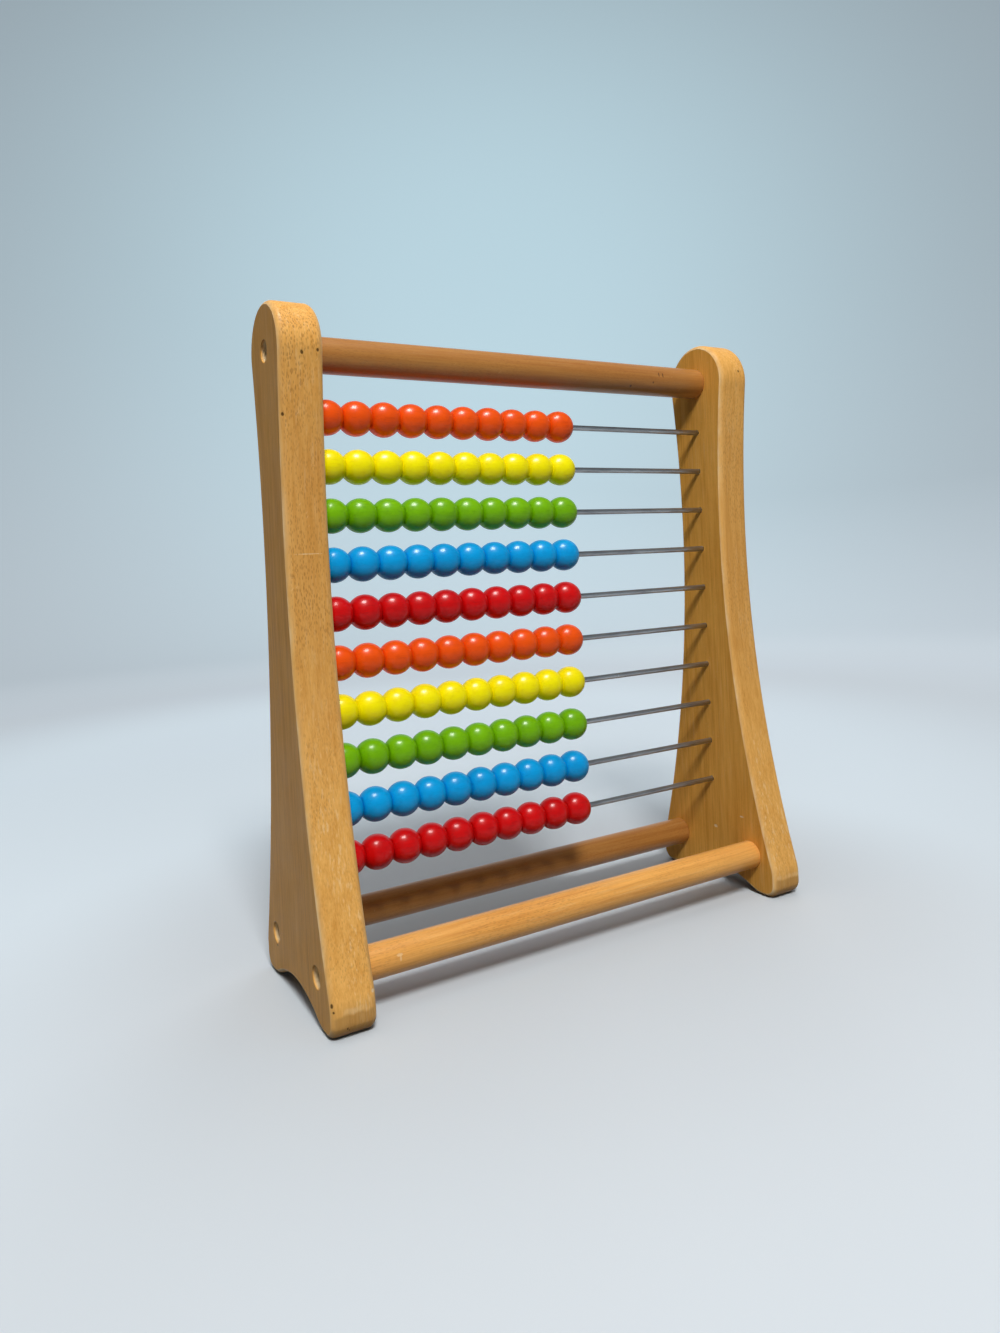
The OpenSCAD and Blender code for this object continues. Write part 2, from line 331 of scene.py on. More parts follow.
def buildPaint(strokes, s):
    # Dipped gloss paint on turned wood: the raised grain shows through in faint lines round the bead.
    tree, given, out = newGroup(
        "dippedPaint",
        [
            ("Vector", "Vector", None),
            ("Tone", "Float", 0.5),
            ("Colour", "Color", tint("db5a1e")),
            ("Thin", "Color", tint("c04a18")),
            ("Gloss", "Float", 0.24),
        ],
        [("Color", "Color"), ("Roughness", "Float"), ("Relief", "Float")],
    )
    place = given["Vector"]
    ripple = grainNoise(tree, place, s["ripple"], 2.0, 0.5)
    ridge = ease(tree, grainNoise(tree, place, s["grain"], 3.0, 0.6), *s["grainEase"])
    patch = grainNoise(tree, place, s["patch"], 3.0, 0.6)
    thinRidge = calc(tree, "MULTIPLY", ridge, s["ridgeThin"])
    thinPatch = calc(tree, "MULTIPLY", ease(tree, patch, *s["patchEase"]), s["patchThin"])
    thinTone = calc(tree, "MULTIPLY", given["Tone"], s["toneThin"])
    thin = calc(tree, "ADD", calc(tree, "ADD", thinRidge, thinPatch), thinTone, clamp=True)
    tree.links.new(mixed(tree, thin, given["Colour"], given["Thin"]), out["Color"])
    rubs = useGroup(tree, strokes, {"Vector": place, **s["rubs"]})["Mask"]
    cloud = calc(tree, "MULTIPLY", calc(tree, "SUBTRACT", patch, 0.5), s["patchGloss"])
    gloss = calc(tree, "ADD", given["Gloss"], cloud)
    gloss = calc(tree, "ADD", gloss, calc(tree, "MULTIPLY", rubs, s["rubGloss"]), clamp=True)
    tree.links.new(gloss, out["Roughness"])
    relief = [calc(tree, "MULTIPLY", ridge, s["ridgeRelief"]), calc(tree, "MULTIPLY", ripple, s["rippleRelief"])]
    rubbed = calc(tree, "MULTIPLY", rubs, s["rubRelief"])
    tree.links.new(calc(tree, "SUBTRACT", calc(tree, "ADD", *relief), rubbed), out["Relief"])
    return tree


strokes = buildStrokes()
placedMark = buildMark(markSet)
beechFigure = buildWood(strokes, figureSet)
handling = buildHandling(strokes, handlingSet)
drawnSteel = buildSteel(drawnSet)
dippedPaint = buildPaint(strokes, dippedSet)
print("shader groups ready")


def newMaterial(name, **fixed):
    made = bpy.data.materials.new(name)
    made.use_nodes = True
    tree = made.node_tree
    shader = tree.nodes["Principled BSDF"]
    for key, value in fixed.items():
        shader.inputs[key.replace("_", " ")].default_value = value
    return made, tree, shader


def bumpInto(tree, shader, height, s):
    wires = {"Height": height, "Strength": s["bump"], "Distance": s["bumpDepth"]}
    tree.links.new(put(tree, "Bump", wires)["Normal"], shader.inputs["Normal"])


def markMask(tree, place, mark, ragged):
    centre, size = ([v * mm for v in part] for part in mark)
    return useGroup(tree, placedMark, {"Vector": place, "Centre": centre, "Size": size, "Ragged": ragged})["Mask"]


def addMarks(tree, place, colour, s):
    # Lays the marks over the colour, and also returns where they are.
    dips = None
    for marks, shade, strength in s["marks"].values():
        for mark in marks:
            mask = markMask(tree, place, mark, s["ragged"])
            colour = overlay(tree, colour, mask, strength, shade)
            dips = mask if dips is None else calc(tree, "MAXIMUM", dips, mask)
    return colour, dips


def coatInto(tree, shader, raw, coat):
    # Raw wood in holes has no coat.
    shown = calc(tree, "SUBTRACT", coat, calc(tree, "MULTIPLY", raw, coat), clamp=True)
    tree.links.new(shown, shader.inputs["Coat Weight"])


panelLook = {
    "pale": ("f2b65a", "f6bf6d"),  # on the broad faces and on the narrow ones
    "deep": ("cf9038", "d99b4a"),
    "handled": "a8713a",  # where hands have darkened the narrow faces
    # the rubbed colour is pale wear, and also a painted highlight along the arris and the toe's crest
    "fleck": "80481d", "fibre": "fbdda6", "rubbed": "fae0b0", "raw": "fae2b6", "endGrainAndShade": "a67b48",
    "fibreDepth": 0.4, "gloss": 0.44, "scratches": 0.5, "coat": 0.08, "bump": 0.35, "bumpDepth": 0.00012,
    # heights in metres between which each rises or falls, and its values there
    "speckled": (0.06, 0.2, 0.32, 0.76), "speckledLeft": (-0.01, 0.01, 1.0, 0.5), "leastSpeckled": 0.15,
    "streaked": (0.05, 0.16, 0.34, 0.1), "leastStreaked": 0.14,
    "toe": (0.0122, 0.0106), "crest": ((0.0108, 0.0122), (0.0142, 0.0126)), "hands": ((0.05, 0.17), (0.28, 0.235)),
    "ripple": (260, 260, 90), "rippleDepth": 0.0028,
    "edgeOn": (0.75, 0.3), "under": (-0.04, -0.35),  # how far a face must look sideways or down
    "paleEdgePatch": (90, 90, 30), "paleEdgeEase": (0.4, 0.62), "paleEdgeLeast": 0.4, "paleEdgeMore": 0.6,
    # how strong each is
    "soleShare": 0.75, "toeShare": 0.5, "handledShare": 0.24, "paleEdgeShare": 0.8, "crestShare": 0.36,
    "scratchShare": 0.5, "rawShare": 0.9, "rawRough": 0.3, "markRelief": 2.5, "scratchRelief": 0.8,
    # marks that a child's use has left, each with its centre and size in millimetres, their tint and strength
    "ragged": 0.7,
    "marks": {
        "pits": ([
            ((-120.3, -20.6, 272.5), (0.8, 2.0, 1.1)),
            ((-113.5, -20.8, 273.8), (0.7, 2.0, 0.9)),
            ((-128.8, -18.6, 247.3), (0.8, 2.2, 1.1)),
            ((-129.2, -42.2, 14.7), (0.6, 1.6, 1.2)),
            ((-128.8, -42.8, 12.3), (0.5, 1.6, 0.7)),
            ((-123.5, -42.6, 4.8), (0.45, 1.6, 0.9)),
            ((-122.8, -42.2, 4.0), (0.4, 1.6, 0.8)),
            ((123.9, -20.8, 280.6), (0.7, 2.0, 0.8)),
            ((-130.0, 26.6, 15.0), (1.2, 0.7, 0.7)),
        ], "3b2410", 0.85),
        "chips": ([
            ((-112.2, -42.2, 16.2), (1.1, 1.8, 1.0)),
            ((111.0, -1.6, 29.8), (0.8, 1.6, 1.0)),
            ((111.0, -22.0, 39.3), (0.8, 1.9, 0.5)),
        ], "f6e2bd", 0.65),
    },
    "cut": ((-120.5, -13.0, 190.3), (9.5, 6.0, 0.28)),  # a fine scratch across the left front edge
    "cutRagged": 0.9, "cutShare": 0.7,
}


def panelMaterial(s):
    made, tree, shader = newMaterial("lacqueredBeechPanel", Coat_Roughness=0.3, Coat_IOR=1.4, Specular_IOR_Level=0.05)
    place = put(tree, "TexCoord")["Object"]
    arris = put(tree, "Attribute", attribute_name="arris")["Fac"]
    raw = put(tree, "Attribute", attribute_name="raw")["Fac"]
    facing = put(tree, "SeparateXYZ", {0: put(tree, "NewGeometry")["Normal"]})
    onEdge = ease(tree, calc(tree, "ABSOLUTE", facing[0]), *s["edgeOn"])  # 1 on the narrow faces
    spot = put(tree, "SeparateXYZ", {0: place})
    ripple = calc(tree, "MULTIPLY", grainNoise(tree, place, s["ripple"], 2.0, 0.5), s["rippleDepth"])
    height = calc(tree, "ADD", spot[2], ripple)

    def between(rise, fall):
        band = calc(tree, "MULTIPLY", ease(tree, height, *rise), ease(tree, height, *fall))
        return calc(tree, "MULTIPLY", band, onEdge)

    # the left panel and the upper half are the more speckled
    speckled = calc(tree, "MULTIPLY", ease(tree, height, *s["speckled"]), ease(tree, spot[0], *s["speckledLeft"]))
    streaked = calc(tree, "MULTIPLY", onEdge, ease(tree, height, *s["streaked"]))
    figure = useGroup(tree, beechFigure, {
        "Vector": place,
        "Pale": mixed(tree, onEdge, *(tint(c) for c in s["pale"])),
        "Deep": mixed(tree, onEdge, *(tint(c) for c in s["deep"])),
        "Fleck": tint(s["fleck"]),
        "Fibre": tint(s["fibre"]),
        "Fibre Depth": s["fibreDepth"],
        "Fleck Depth": calc(tree, "ADD", calc(tree, "MULTIPLY", speckled, onEdge), s["leastSpeckled"]),
        "Shine": calc(tree, "ADD", streaked, s["leastStreaked"]),
    })
    touch = useGroup(tree, handling, {"Vector": place, "Gloss": s["gloss"], "Amount": s["scratches"]})
    # faces that look down and the toes' low rounding are painted browner: end grain that drinks more lacquer, and
    # painted shade
    under = calc(tree, "MULTIPLY", ease(tree, facing[2], *s["under"]), s["soleShare"])
    toe = calc(tree, "MULTIPLY", calc(tree, "MULTIPLY", ease(tree, height, *s["toe"]), onEdge), s["toeShare"])
    colour = mixed(tree, calc(tree, "MAXIMUM", under, toe), figure["Color"], tint(s["endGrainAndShade"]))
    colour = overlay(tree, colour, between(*s["hands"]), s["handledShare"], s["handled"])
    # edges are painted paler in patches, as wear and as a painted highlight along the arris, and so is the crest where
    # the toe's rounding starts
    patches = ease(tree, grainNoise(tree, place, s["paleEdgePatch"], 4.0, 0.65), *s["paleEdgeEase"])
    inPatches = calc(tree, "ADD", calc(tree, "MULTIPLY", patches, s["paleEdgeMore"]), s["paleEdgeLeast"])
    onArris = calc(tree, "MULTIPLY", arris, inPatches)
    onCrest = calc(tree, "MULTIPLY", calc(tree, "MULTIPLY", between(*s["crest"]), patches), s["crestShare"])
    paleEdges = calc(tree, "MAXIMUM", calc(tree, "MULTIPLY", onArris, s["paleEdgeShare"]), onCrest)
    colour = mixed(tree, paleEdges, colour, tint(s["rubbed"]))
    colour = overlay(tree, colour, touch["Scratches"], s["scratchShare"], s["rubbed"])
    colour = overlay(tree, colour, raw, s["rawShare"], s["raw"])
    colour, dips = addMarks(tree, place, colour, s)
    cut = markMask(tree, place, s["cut"], s["cutRagged"])
    colour = overlay(tree, colour, cut, s["cutShare"], s["rubbed"])
    tree.links.new(colour, shader.inputs["Base Color"])
    rough = calc(tree, "ADD", touch["Roughness"], calc(tree, "MULTIPLY", raw, s["rawRough"]), clamp=True)
    tree.links.new(rough, shader.inputs["Roughness"])
    coatInto(tree, shader, raw, s["coat"])
    lines = calc(tree, "MULTIPLY", calc(tree, "MAXIMUM", touch["Scratches"], cut), s["scratchRelief"])
    relief = calc(tree, "SUBTRACT", figure["Relief"], calc(tree, "MULTIPLY", dips, s["markRelief"]))
    bumpInto(tree, shader, calc(tree, "SUBTRACT", relief, lines), s)
    return made


railLook = {
    "pale": "f6b761", "deep": "d59045", "fleck": "6f3d19", "dark": "77421c", "scratch": "f0cf9c", "raw": "e6bd86",
    # how far each rod is darkened: partly wood that differs from rod to rod, partly painted shade on the top and rear
    # rails
    "tone": {"top_rail": 0.78, "front_bottom_rail": 0.0, "rear_bottom_rail": 0.75},
    "ringGap": 0.0034, "ringDepth": 0.14, "fibreDepth": 0.36, "fleckDepth": 0.36,
    "gloss": 0.4, "scratches": 0.4, "coat": 0.4, "bump": 0.35, "bumpDepth": 0.00012,
    "darkWoodAndShadeShare": 0.76, "scratchShare": 0.4, "rawShare": 0.6, "markRelief": 1.8, "scratchRelief": 0.8,
    "ragged": 0.9,
    "marks": {
        "scuffs": ([
            ((-96.4, -34.2, 23.2), (1.6, 1.6, 0.7)),
            ((-96.1, -34.6, 21.7), (0.5, 1.2, 1.4)),
        ], "f2cf9d", 0.6),
        "dents": ([
            ((79.0, -7.8, 278.6), (0.5, 1.5, 1.5)),
            ((81.6, -7.8, 278.4), (0.5, 1.5, 1.6)),
            ((60.8, -6.3, 271.8), (0.8, 1.3, 0.8)),
            ((75.0, -7.6, 274.2), (0.6, 1.2, 0.6)),
        ], "4a2a14", 0.8),
    },
}


def railMaterial(s):
    made, tree, shader = newMaterial("lacqueredBeechDowel", Coat_Roughness=0.3, Coat_IOR=1.45, Specular_IOR_Level=0.18)
    place = put(tree, "TexCoord")["Object"]
    along = put(tree, "Mapping", {"Vector": place, "Rotation": (0, math.radians(90), 0)})[0]  # grain along X
    raw = put(tree, "Attribute", attribute_name="raw")["Fac"]
    tone = put(tree, "Attribute", attribute_name="tone")["Fac"]
    figure = useGroup(tree, beechFigure, {
        "Vector": along,
        "Pale": tint(s["pale"]),
        "Deep": tint(s["deep"]),
        "Fleck": tint(s["fleck"]),
        "Ring Gap": s["ringGap"],
        "Ring Depth": s["ringDepth"],
        "Fibre Depth": s["fibreDepth"],
        "Fleck Depth": s["fleckDepth"],
    })
    touch = useGroup(tree, handling, {"Vector": place, "Gloss": s["gloss"], "Amount": s["scratches"]})
    # darkening of the rods: their own wood, and painted shade
    darkerWoodAndShade = mixed(tree, s["darkWoodAndShadeShare"], figure["Color"], tint(s["dark"]))
    colour = mixed(tree, tone, figure["Color"], darkerWoodAndShade)
    colour = overlay(tree, colour, touch["Scratches"], s["scratchShare"], s["scratch"])
    colour = overlay(tree, colour, raw, s["rawShare"], s["raw"])
    colour, dips = addMarks(tree, place, colour, s)
    tree.links.new(colour, shader.inputs["Base Color"])
    tree.links.new(touch["Roughness"], shader.inputs["Roughness"])
    coatInto(tree, shader, raw, s["coat"])
    lines = calc(tree, "MULTIPLY", touch["Scratches"], s["scratchRelief"])
    relief = calc(tree, "SUBTRACT", figure["Relief"], calc(tree, "MULTIPLY", dips, s["markRelief"]))
    bumpInto(tree, shader, calc(tree, "SUBTRACT", relief, lines), s)
    return made


steelLook = {
    "wire": {"name": "drawnWireSteel", "bright": "b0b1b3", "dull": "88898b", "gloss": 0.34},
    "screw": {"name": "screwSteel", "bright": "c9c7c2", "dull": "a19d97", "gloss": 0.28},
    "bump": 0.25, "bumpDepth": 0.00003,
}


def steelMaterial(kind, s):
    look = s[kind]
    made, tree, shader = newMaterial(look["name"], Metallic=1.0)
    skin = useGroup(tree, drawnSteel, {
        "Vector": put(tree, "TexCoord")["Object"],
        "Bright": tint(look["bright"]),
        "Dull": tint(look["dull"]),
        "Gloss": look["gloss"],
    })
    tree.links.new(skin["Color"], shader.inputs["Base Color"])
    tree.links.new(skin["Roughness"], shader.inputs["Roughness"])
    bumpInto(tree, shader, skin["Relief"], s)
    return made


beadLook = {
    # colour of the paint, and of the same paint where it lies thin
    "paints": {
        "orange": ("f2560a", "dc4806"),
        "yellow": ("fbf000", "ebd900"),
        "green": ("76b604", "629f02"),
        "blue": ("05a0e6", "058ccf"),
        "red": ("d4090b", "b30709"),
    },
    "gloss": 0.4, "coat": 0.5, "bump": 0.3, "bumpDepth": 0.00022,
}


def paintMaterial(name, s):
    made, tree, shader = newMaterial(
        name + "BeadPaint", Coat_Weight=s["coat"], Coat_Roughness=0.24, Coat_IOR=1.42, Specular_IOR_Level=0.08
    )
    colour, thin = s["paints"][name]
    skin = useGroup(tree, dippedPaint, {
        "Vector": put(tree, "Attribute", attribute_name="beadPlace")["Vector"],
        "Tone": put(tree, "Attribute", attribute_name="beadTone")["Fac"],
        "Colour": tint(colour),
        "Thin": tint(thin),
        "Gloss": s["gloss"],
    })
    tree.links.new(skin["Color"], shader.inputs["Base Color"])
    tree.links.new(skin["Roughness"], shader.inputs["Roughness"])
    bumpInto(tree, shader, skin["Relief"], s)
    return made


panelWood = panelMaterial(panelLook)
railWood = railMaterial(railLook)
wireSteel = steelMaterial("wire", steelLook)
screwSteel = steelMaterial("screw", steelLook)
beadPaints = {name: paintMaterial(name, beadLook) for name in beadLook["paints"]}
print("materials ready:", len(bpy.data.materials))


# mesh helpers
def finishPiece(bm, name, material, sharpAngle=38):
    bmesh.ops.recalc_face_normals(bm, faces=bm.faces[:])
    mesh = bpy.data.meshes.new(name)
    bm.to_mesh(mesh)
    bm.free()
    mesh.shade_smooth()
    mesh.set_sharp_from_angle(angle=math.radians(sharpAngle))
    mesh.materials.append(material)
    piece = bpy.data.objects.new(name, mesh)
    bpy.context.scene.collection.objects.link(piece)
    return piece


def settle(piece, body, slot, *nodes):
    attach(piece, body)
    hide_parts(*nodes)


def joinRings(bm, a, b):
    for i in range(len(a)):
        j = (i + 1) % len(a)
        bm.faces.new((a[i], a[j], b[j], b[i]))


def fan(bm, ring, tip):
    for i in range(len(ring)):
        bm.faces.new((ring[i], ring[(i + 1) % len(ring)], tip))


def lathe(bm, profile, segments, place, closed=False, shape=None):
    # Turns (along X, radius) points round X. A radius of 0 at an end makes a pole.
    rings = []
    for along, radius in profile:
        if radius == 0:
            rings.append([bm.verts.new(place(Vector((along, 0, 0))))])
            continue
        ring = []
        for i in range(segments):
            angle = 2 * math.pi * i / segments
            r = radius if shape is None else shape(along, angle, radius)
            ring.append(bm.verts.new(place(Vector((along, r * math.cos(angle), r * math.sin(angle))))))
        rings.append(ring)
    pairs = list(zip(rings, rings[1:]))
    if closed:
        pairs.append((rings[-1], rings[0]))
    for a, b in pairs:
        if len(a) == 1:
            fan(bm, b, a[0])
        elif len(b) == 1:
            fan(bm, a, b[0])
        else:
            joinRings(bm, a, b)
    return rings


def spread(start, end, step):
    count = max(1, round(abs(end - start) / step))
    return [start + (end - start) * i / count for i in range(count + 1)]


def pieceName(node, ending):
    words = node.split("_")
    return words[0] + "".join(word.title() for word in words[1:]) + ending


# side panels
panelSet = {
    "thickness": 19, "inner": 111, "headR": 21, "headH": 276.7, "waistHalf": 16.4, "waistH": 197,
    "footHalf": 44, "toeR": 7, "toeFront": 4, "ankleR": 20, "sole": 2.6, "archH": 8, "archCornerR": 18,
    "edgeR": 3.2, "crease": 25, "pointGap": 1.3, "edgeSteps": 7, "stripSteps": 7, "faceInset": 0.35,
    "pocketR": 4.6, "pocketDepth": 6, "pocketWalls": (1.5, 3.0, 4.6), "pocketRim": 0.3, "pocketSegments": 40,
    "lip": 0.35, "lipSteps": 5, "floorR": 3.4, "screwR": 2.1,
    "wireR": 1.45, "wireDepth": 9, "wireMouth": 0.2, "wireSegments": 20,
    "unevenness": 0.07, "unevenSize": 22, "sharpAngle": 23,
}


def panelOutline(s):
    # The same chain of arcs as the CAD panel, as (y, z, outward y, outward z) round the edge.
    toeY, ankleY = s["footHalf"] - s["toeR"], s["footHalf"] - s["ankleR"]
    cornerR, cornerY = s["archCornerR"], toeY - s["sole"]
    archR = (cornerY ** 2 + s["archH"] ** 2) / (2 * s["archH"]) - cornerR
    archZ, ankleZ = s["archH"] - archR, s["toeR"] + s["toeFront"]
    drop = s["waistH"] - ankleZ
    lowR = ((ankleY - s["waistHalf"]) ** 2 + drop ** 2 - s["ankleR"] ** 2) / (2 * (s["footHalf"] - s["waistHalf"]))
    rise = s["headH"] - s["waistH"]
    highR = (s["waistHalf"] ** 2 + rise ** 2 - s["headR"] ** 2) / (2 * (s["headR"] - s["waistHalf"]))
    archEnd = math.atan2(cornerR - archZ, cornerY)
    ankleEnd = math.atan2(drop, s["waistHalf"] + lowR - ankleY)
    headStart = -math.atan2(rise, s["waistHalf"] + highR)
    half = math.pi / 2
    arcs = [
        (0, archZ, archR, half, archEnd, -1),
        (cornerY, cornerR, cornerR, archEnd - math.pi, -half, 1),
        (toeY, s["toeR"], s["toeR"], -half, 0, 1),
        (ankleY, ankleZ, s["ankleR"], 0, ankleEnd, 1),
        (s["waistHalf"] + lowR, s["waistH"], lowR, ankleEnd + math.pi, math.pi, -1),
        (s["waistHalf"] + highR, s["waistH"], highR, math.pi, headStart + math.pi, -1),
        (0, s["headH"], s["headR"], headStart, half, 1),
    ]
    points = []
    for y, z, r, a, b, sign in arcs:
        steps = max(6, round(abs(b - a) * r / s["pointGap"]))
        for i in range(steps + 1):
            t = a + (b - a) * i / steps
            new = (y + r * math.cos(t), z + r * math.sin(t), sign * math.cos(t), sign * math.sin(t))
            if not points or math.dist(new[:2], points[-1][:2]) > 0.01:
                points.append(new)
    return points + [(-y, z, -ny, nz) for y, z, ny, nz in points[-2:0:-1]]


def holeRing(bm, x, y, z, radius, segments):
    return [
        bm.verts.new((x * mm, (y + radius * math.cos(a)) * mm, (z + radius * math.sin(a)) * mm))
        for a in (2 * math.pi * i / segments for i in range(segments))
    ]


def ringEdges(bm, ring):
    pairs = zip(ring, ring[1:] + ring[:1])
    return [bm.edges.get(pair) or bm.edges.new(pair) for pair in pairs]


def makePanel(name, side, s):
    # side is -1 for the left panel and 1 for the right one; depths run from the inner face outwards
    bm = bmesh.new()
    arris = bm.verts.layers.float.new("arris")
    raw = bm.verts.layers.float.new("raw")
    outline = panelOutline(s)
    atDepth = lambda depth: side * (s["inner"] + depth)
    t, edgeR, n = s["thickness"], s["edgeR"], s["edgeSteps"]
    crease = math.radians(s["crease"])
    # each layer is (depth, how far its edge is moved in, how pale it is painted: wear, and a painted highlight along
    # the arris)
    turn = []
    for i in range(n + 1):
        a = crease + (math.pi / 2 - crease) * i / n
        turn.append((edgeR * (math.cos(crease) - math.cos(a)), edgeR * (1 - math.sin(a)), (1 - i / n) ** 2))
    deep, creaseInset = turn[-1][0], turn[0][1]
    strip = [(d, 0.0, 0.0) for d in spread(deep, t - deep, (t - 2 * deep) / s["stripSteps"])[1:-1]]
    faceInset = creaseInset + s["faceInset"]
    layers = [(0.0, faceInset, 0.0)] + turn + strip
    layers += [(t - d, inset, arrisPaleness) for d, inset, arrisPaleness in reversed(turn)] + [(t, faceInset, 0.0)]
    rings = []
    for depth, inset, arrisPaleness in layers:
        ring = []
        onFace = depth in (0.0, t)
        for y, z, ny, nz in outline:
            spot = Vector((atDepth(depth), y, z))
            hollow = 0 if onFace else s["unevenness"] * (0.5 + 0.5 * noise.noise(spot / s["unevenSize"]))
            inward = inset + hollow
            vert = bm.verts.new((atDepth(depth) * mm, (y - ny * inward) * mm, (z - nz * inward) * mm))
            vert[arris] = arrisPaleness
            ring.append(vert)
        rings.append(ring)
    for a, b in zip(rings, rings[1:]):
        joinRings(bm, a, b)
    innerEdges, outerEdges = ringEdges(bm, rings[0]), ringEdges(bm, rings[-1])
    for k in range(1, 11):
        wire = sum(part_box(f"row_{k:02d}_wire"), Vector()) / 2
        hole = lambda depth, radius: holeRing(bm, atDepth(depth), wire.y / mm, wire.z / mm, radius, s["wireSegments"])
        mouth = hole(0, s["wireR"] + s["wireMouth"])
        throat, floor = hole(s["wireMouth"], s["wireR"]), hole(s["wireDepth"], s["wireR"])
        joinRings(bm, mouth, throat)
        joinRings(bm, throat, floor)
        bm.faces.new(floor)
        innerEdges += ringEdges(bm, mouth)
        for vert in throat + floor:
            vert[raw] = 1.0
    for rail in ("top_rail", "front_bottom_rail", "rear_bottom_rail"):
        seat = sum(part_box(rail), Vector()) / 2
        hole = lambda depth, radius: holeRing(bm, atDepth(depth), seat.y / mm, seat.z / mm, radius, s["pocketSegments"])
        lip, pocketR, steps = s["lip"], s["pocketR"], s["lipSteps"]
        mouth = [hole(t, pocketR + lip + s["pocketRim"])]
        for a in (math.pi / 2 * i / steps for i in range(steps + 1)):
            mouth.append(hole(t - lip * (1 - math.cos(a)), pocketR + lip * (1 - math.sin(a))))
        inside = [hole(t - d, pocketR) for d in (*s["pocketWalls"], s["pocketDepth"])]
        inside += [hole(t - s["pocketDepth"], r) for r in (s["floorR"], s["screwR"])]
        chain = mouth + inside + [hole(0, s["screwR"])]
        for a, b in zip(chain, chain[1:]):
            joinRings(bm, a, b)
        for ring in inside:
            for vert in ring:
                vert[raw] = 1.0
        outerEdges += ringEdges(bm, chain[0])
        innerEdges += ringEdges(bm, chain[-1])
    for edges in (innerEdges, outerEdges):
        bmesh.ops.triangle_fill(bm, use_beauty=True, use_dissolve=False, edges=edges)
    piece = finishPiece(bm, name, panelWood, s["sharpAngle"])
    settle(piece, "frame", "panel_wood", "left_side_panel" if side < 0 else "right_side_panel")


makePanel("leftPanelBoard", -1, panelSet)
makePanel("rightPanelBoard", 1, panelSet)
print("side panels ready")


# rails
railSet = {
    "segments": 56, "step": 2.0, "chamfer": 0.6, "chamferTurn": 0.3, "pilotR": 2.1, "pilotDepth": 25.3,
    "unevenness": 0.06, "unevenLength": 30, "dentDepth": 0.22,
}


def makeRail(node, s, look):
    low, high = (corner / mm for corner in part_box(node))
    middle, radius, seed = (low + high) / 2, (high.z - low.z) / 2, len(node)
    dents = [(Vector(centre), max(size)) for centre, size in look["marks"]["dents"][0]]
    c, end = s["chamfer"], s["pilotDepth"]

    def shape(along, angle, r):
        if r < radius - c - 0.01:  # the pilot hole stays round
            return r
        spot = Vector((along, middle.y + r * math.cos(angle), middle.z + r * math.sin(angle)))
        wave = noise.noise(Vector((along / s["unevenLength"] + seed, math.cos(angle), math.sin(angle))))
        hollow = s["unevenness"] * (0.5 + 0.5 * wave)
        for centre, size in dents:
            hollow += s["dentDepth"] * math.exp(-((spot - centre).length / size) ** 2)
        return r - hollow

    turn = s["chamferTurn"] * c
    body = [(x, radius) for x in spread(low.x + c, high.x - c, s["step"])]
    profile = [(low.x + end, 0), (low.x + end, s["pilotR"]), (low.x, s["pilotR"]), (low.x, radius - c)]
    profile += [(low.x + turn, radius - turn)] + body + [(high.x - turn, radius - turn)]
    profile += [(high.x, radius - c), (high.x, s["pilotR"]), (high.x - end, s["pilotR"]), (high.x - end, 0)]
    bm = bmesh.new()
    raw = bm.verts.layers.float.new("raw")
    tone = bm.verts.layers.float.new("tone")
    rings = lathe(bm, profile, s["segments"], lambda p: (p + Vector((0, middle.y, middle.z))) * mm, shape=shape)
    for vert in bm.verts:
        vert[tone] = look["tone"][node]
    for ring in rings[:3] + rings[-3:]:
        for vert in ring:
            vert[raw] = 1.0
    piece = finishPiece(bm, pieceName(node, "Dowel"), railWood)
    settle(piece, "frame", "rail_wood", node)


for node in ("top_rail", "front_bottom_rail", "rear_bottom_rail"):
    makeRail(node, railSet, railLook)
print("rails ready")


# wood screws, deep in their pockets
screwSet = {
    "headR": 3.8, "headH": 2.6, "headEdge": 0.2, "crown": [(0.0, 2.9), (0.12, 3.3), (0.45, 3.62), (0.95, 3.8)],
    "shankR": 2.0, "rootR": 1.4, "plain": 13, "length": 38, "tip": 4, "tipNose": (1.2, 0.5),
    "pitch": 1.8, "ridgeHalf": 0.28, "ridgeRise": 1.5, "threadStart": 0.18, "threadStep": 0.2,
    "crossWide": 0.5, "crossReach": 1.9, "crossDeep": 1.4, "crossFloor": 0.62, "segments": 36, "sharpAngle": 30,
}


